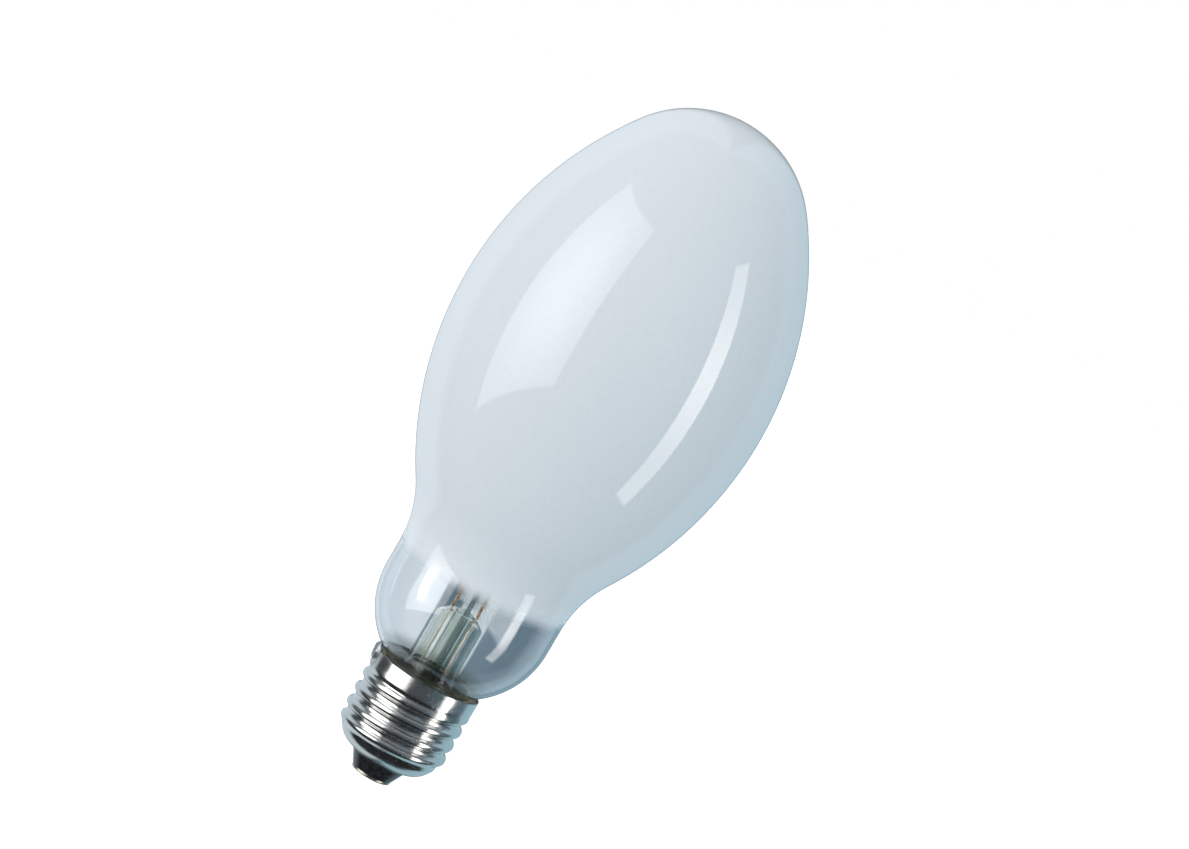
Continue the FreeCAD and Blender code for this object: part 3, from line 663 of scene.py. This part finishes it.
# Directions are in degrees: azimuth from straight in front, positive to the right, and elevation.
WALLS_START, WALLS_FULL = 108.0, 124.0
STAND_START, STAND_FULL = 163.0, 174.0
BOX_LEFT, BOX_RIGHT, BOX_TOP = -77.0, -25.0, 40.0
BOX_FOOT_SLOPE, BOX_FOOT_LEVEL = 0.26, -10.3
HOT_AZIMUTH, HOT_ELEVATION = -51.0, 9.0
STRIP_LEFT, STRIP_RIGHT = 59.5, 73.0
STRIP_LOW, STRIP_HIGH, STRIP_MIDDLE = -33.5, 39.0, 6.0


def studio_light(tree, across, deep, height):
    """What mirrors and glass see: a soft box on the left, a strip on the right, pale walls at the back."""
    azimuth = tree.math("DEGREES", tree.math("ARCTAN2", across, tree.math("MULTIPLY", deep, -1.0)))
    elevation = tree.math("DEGREES", tree.math("ARCSINE", height))

    def between(source, low, high, soft):
        rise = tree.step(source, low - soft, low + soft)
        fall = tree.step(source, high - soft, high + soft, 1.0, 0.0)
        return tree.product(rise, fall)

    # The dark room, blacker below and greyer above, with pale walls behind the lamp on both sides.
    dark_colour = tree.mix(tree.step(azimuth, 0.0, 60.0), DARK, DARK_RIGHT)
    dark_colour = tree.mix(tree.step(elevation, -34.0, -12.0), DARK_BELOW, dark_colour)
    dark_colour = tree.mix(tree.step(elevation, 12.0, 34.0), dark_colour, DARK_ABOVE)
    side = tree.math("ABSOLUTE", azimuth)
    wall_colour = tree.mix(tree.step(azimuth, -60.0, 60.0), WALL_LEFT, WALL_RIGHT)
    colour = tree.mix(tree.step(side, WALLS_START, WALLS_FULL), dark_colour, wall_colour)
    # A dark stand closes the view straight behind.
    colour = tree.mix(tree.step(side, STAND_START, STAND_FULL), colour, STAND)
    # The soft box: upright sides, a level top, a sloping foot and a hot middle.
    foot = tree.math("ADD", tree.math("MULTIPLY", azimuth, BOX_FOOT_SLOPE), BOX_FOOT_LEVEL)
    box = tree.product(
        between(azimuth, BOX_LEFT, BOX_RIGHT, 0.7),
        tree.step(tree.math("SUBTRACT", elevation, foot), -0.8, 0.8),
        tree.step(elevation, BOX_TOP, BOX_TOP + 1.5, 1.0, 0.0),
    )
    aside = tree.math("SUBTRACT", azimuth, HOT_AZIMUTH)
    above = tree.math("MULTIPLY", tree.math("SUBTRACT", elevation, HOT_ELEVATION), 0.8)
    away = tree.math("SQRT", tree.total(tree.math("POWER", aside, 2.0), tree.math("POWER", above, 2.0)))
    glow = tree.step(away, 3.0, 34.0, 4.2, 1.95)
    box_colour = tree.add("ShaderNodeCombineColor", Red=glow, Green=glow, Blue=glow)
    colour = tree.mix(box, colour, box_colour.outputs[0])
    # The strip light, brightest at its middle.
    strip = tree.product(
        between(azimuth, STRIP_LEFT, STRIP_RIGHT, 0.7),
        between(elevation, STRIP_LOW, STRIP_HIGH, 0.8),
    )
    from_middle = tree.math("ABSOLUTE", tree.math("SUBTRACT", elevation, STRIP_MIDDLE))
    glow = tree.step(from_middle, 0.0, 32.0, 6.4, 3.4)
    strip_colour = tree.add(
        "ShaderNodeCombineColor",
        Red=tree.product(glow, 1.04), Green=glow, Blue=tree.product(glow, 0.98),
    )
    return tree.mix(strip, colour, strip_colour.outputs[0])


def through_light(tree, across, deep, studio):
    """What is seen through clear glass: the studio, with the wall behind split into pale and blue-grey."""
    behind = tree.math("DEGREES", tree.math("ARCTAN2", across, deep))
    pale = tree.mix(tree.step(behind, -1.9, -0.9), (0.72, 0.785, 0.85, 1), (0.63, 0.685, 0.745, 1))
    split = tree.mix(tree.step(behind, -0.9, 1.1), pale, (0.14, 0.205, 0.26, 1))
    near = tree.step(tree.math("ABSOLUTE", behind), 14.0, 60.0, 1.0, 0.0)
    return tree.mix(near, studio, split)


def make_world():
    world = bpy.data.worlds.new("studio")
    world.use_nodes = True
    world.cycles.sampling_method = "NONE"
    tree = Tree(world.node_tree)
    across, deep, height = tree.split(tree.add("ShaderNodeTexCoord").outputs["Generated"])
    studio = studio_light(tree, across, deep, height)
    through = through_light(tree, across, deep, studio)
    # The fill falls off from the upper left to the lower right.
    lit = tree.total(
        0.5,
        tree.math("MULTIPLY", across, -0.40),
        tree.math("MULTIPLY", deep, -0.10),
        tree.math("MULTIPLY", height, 0.16),
    )
    fill = tree.mix(lit, FILL_DIM, FILL_BRIGHT)
    path = tree.add("ShaderNodeLightPath").outputs
    colour = tree.mix(path["Is Transmission Ray"], studio, through)
    colour = tree.mix(path["Is Diffuse Ray"], colour, fill)
    colour = tree.mix(path["Is Camera Ray"], colour, (1.0, 1.0, 1.0, 1))
    background = tree.add("ShaderNodeBackground", Color=colour, Strength=1.0)
    output = tree.add("ShaderNodeOutputWorld")
    tree.put(output.inputs["Surface"], background.outputs[0])
    bpy.context.scene.world = world


def make_floor():
    """A plain pale floor well below the lamp, which only the camera sees."""
    reach = 30.0
    level = -0.5
    corners = [(-reach, -reach, level), (reach, -reach, level), (reach, reach, level), (-reach, reach, level)]
    mesh = bpy.data.meshes.new("floor")
    mesh.from_pydata(corners, [], [(0, 1, 2, 3)])
    floor = bpy.data.objects.new("floor", mesh)
    bpy.context.scene.collection.objects.link(floor)

    def build(tree):
        tone = tree.mix(tree.noise(tree.place(), 0.5), (0.93, 0.93, 0.93, 1), (0.96, 0.96, 0.96, 1))
        glow = {"Roughness": 0.9, "Emission Color": (1, 1, 1, 1), "Emission Strength": 0.45}
        return principled(tree, glow, Base_Color=tone)

    floor.data.materials.append(material("floor_look", build))
    for ray in ("diffuse", "glossy", "transmission", "shadow"):
        setattr(floor, "visible_" + ray, False)


def make_camera():
    """A long lens a little above the lamp's middle, rolled so that the lamp leans to the right."""
    aim = Vector((4.0 * MM, 0.0, 93.7 * MM))
    distance = 731.8 * MM
    elevation = math.radians(6.0)
    roll = math.radians(30.2)
    camera = bpy.data.cameras.new("camera")
    camera.lens = 100.0
    camera.sensor_width = 36.0
    camera.clip_start = 0.01
    holder = bpy.data.objects.new("camera", camera)
    bpy.context.scene.collection.objects.link(holder)
    holder.location = aim + distance * Vector((0.0, -math.cos(elevation), math.sin(elevation)))
    level = Matrix.Rotation(math.pi / 2 - elevation, 4, "X")
    holder.rotation_euler = (level @ Matrix.Rotation(roll, 4, "Z")).to_euler()
    bpy.context.scene.camera = holder


def make_lights():
    """A soft key light from the upper left, which gives the lamp its gentle modelling."""
    light = bpy.data.lights.new("key", "AREA")
    light.shape = "RECTANGLE"
    light.size, light.size_y = 0.9, 1.2
    light.energy = 3.0
    holder = bpy.data.objects.new("key", light)
    bpy.context.scene.collection.objects.link(holder)
    holder.location = LAMP_MIDDLE + Vector((-1.1, -1.0, 0.7))
    holder.rotation_euler = (LAMP_MIDDLE - holder.location).to_track_quat("-Z", "Y").to_euler()
    holder.visible_camera = False
    holder.visible_glossy = False
    holder.visible_transmission = False


dress_nodes()
make_bulb_glass()
make_stem_glass()
make_side_solder()
make_centre_solder()
make_world()
make_floor()
make_lights()
make_camera()
bpy.context.scene.view_settings.view_transform = "Standard"
